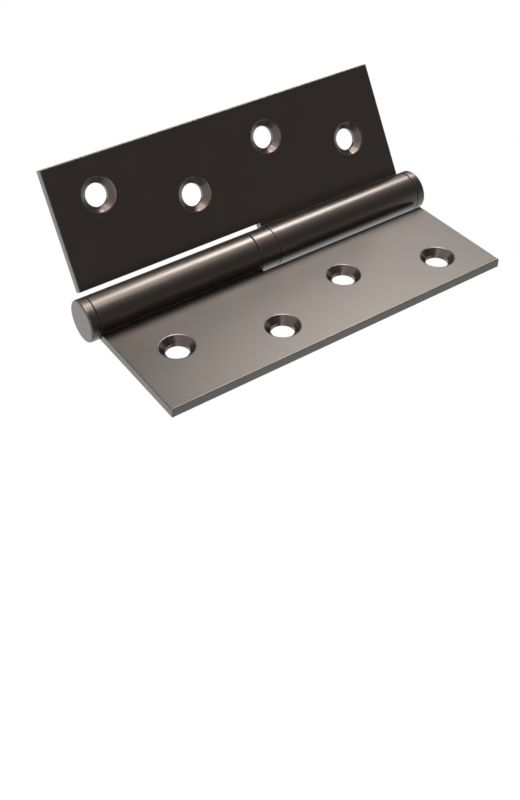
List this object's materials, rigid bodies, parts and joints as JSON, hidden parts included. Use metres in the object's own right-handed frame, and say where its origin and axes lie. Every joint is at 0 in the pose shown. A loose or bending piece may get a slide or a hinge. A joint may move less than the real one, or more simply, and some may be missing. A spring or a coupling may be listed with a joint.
{
  "type": "lift-off hinge",
  "caption": "Lift-off butt hinge with countersunk leaves, rolled knuckles on a fixed pin and a ball bearing ring between them.",
  "frame": {"origin": "on the pin's line, at the foot of the lower end cap, which is the lower end of the barrel", "axes": "+Z along the pin, the way the upper leaf lifts off; +X along the lower leaf; +Y out of the lower leaf's back face, so its countersunk face looks along -Y"},
  "size_m": [0.0596, 0.0372, 0.105],
  "materials": {
    "leaf_steel": "satin dark nickel plating on rolled steel",
    "pin_steel": "ground bright steel, lightly greased",
    "bearing_steel": "polished hardened steel",
    "cage_brass": "stamped brass"
  },
  "bodies": {
    "pin_half": {"pin_leaf": "leaf_steel", "hinge_pin": "pin_steel", "pin_leaf_cap": "leaf_steel", "bearing_lower_race": "bearing_steel"},
    "bearing_top": {"bearing_shroud": "leaf_steel", "bearing_upper_race": "bearing_steel"},
    "ball_set": {"bearing_cage": "cage_brass", "bearing_ball_01": "bearing_steel", "bearing_ball_02": "bearing_steel", "bearing_ball_03": "bearing_steel", "bearing_ball_04": "bearing_steel", "bearing_ball_05": "bearing_steel", "bearing_ball_06": "bearing_steel", "bearing_ball_07": "bearing_steel", "bearing_ball_08": "bearing_steel", "bearing_ball_09": "bearing_steel", "bearing_ball_10": "bearing_steel", "bearing_ball_11": "bearing_steel", "bearing_ball_12": "bearing_steel"},
    "socket_half": {"socket_leaf": "leaf_steel", "socket_leaf_cap": "leaf_steel"}
  },
  "joints": [
    {"name": "leaf_swing", "type": "hinge", "parent": "pin_half", "child": "bearing_top", "pos_m": [0, 0, 0.0525], "axis": [0, 0, -1], "range_deg": [-124, 176.5]},
    {"name": "lift_off", "type": "slide", "parent": "bearing_top", "child": "socket_half", "axis": [0, 0, 1], "range_m": [0, 0.042]},
    {"name": "cage_orbit", "type": "hinge", "parent": "pin_half", "child": "ball_set", "pos_m": [0, 0, 0.0525], "axis": [0, 0, -1], "range_deg": [-62.5, 89]}
  ],
  "couplings": [
    {"joint": "cage_orbit", "follows": "leaf_swing", "ratio": 0.5}
  ]
}
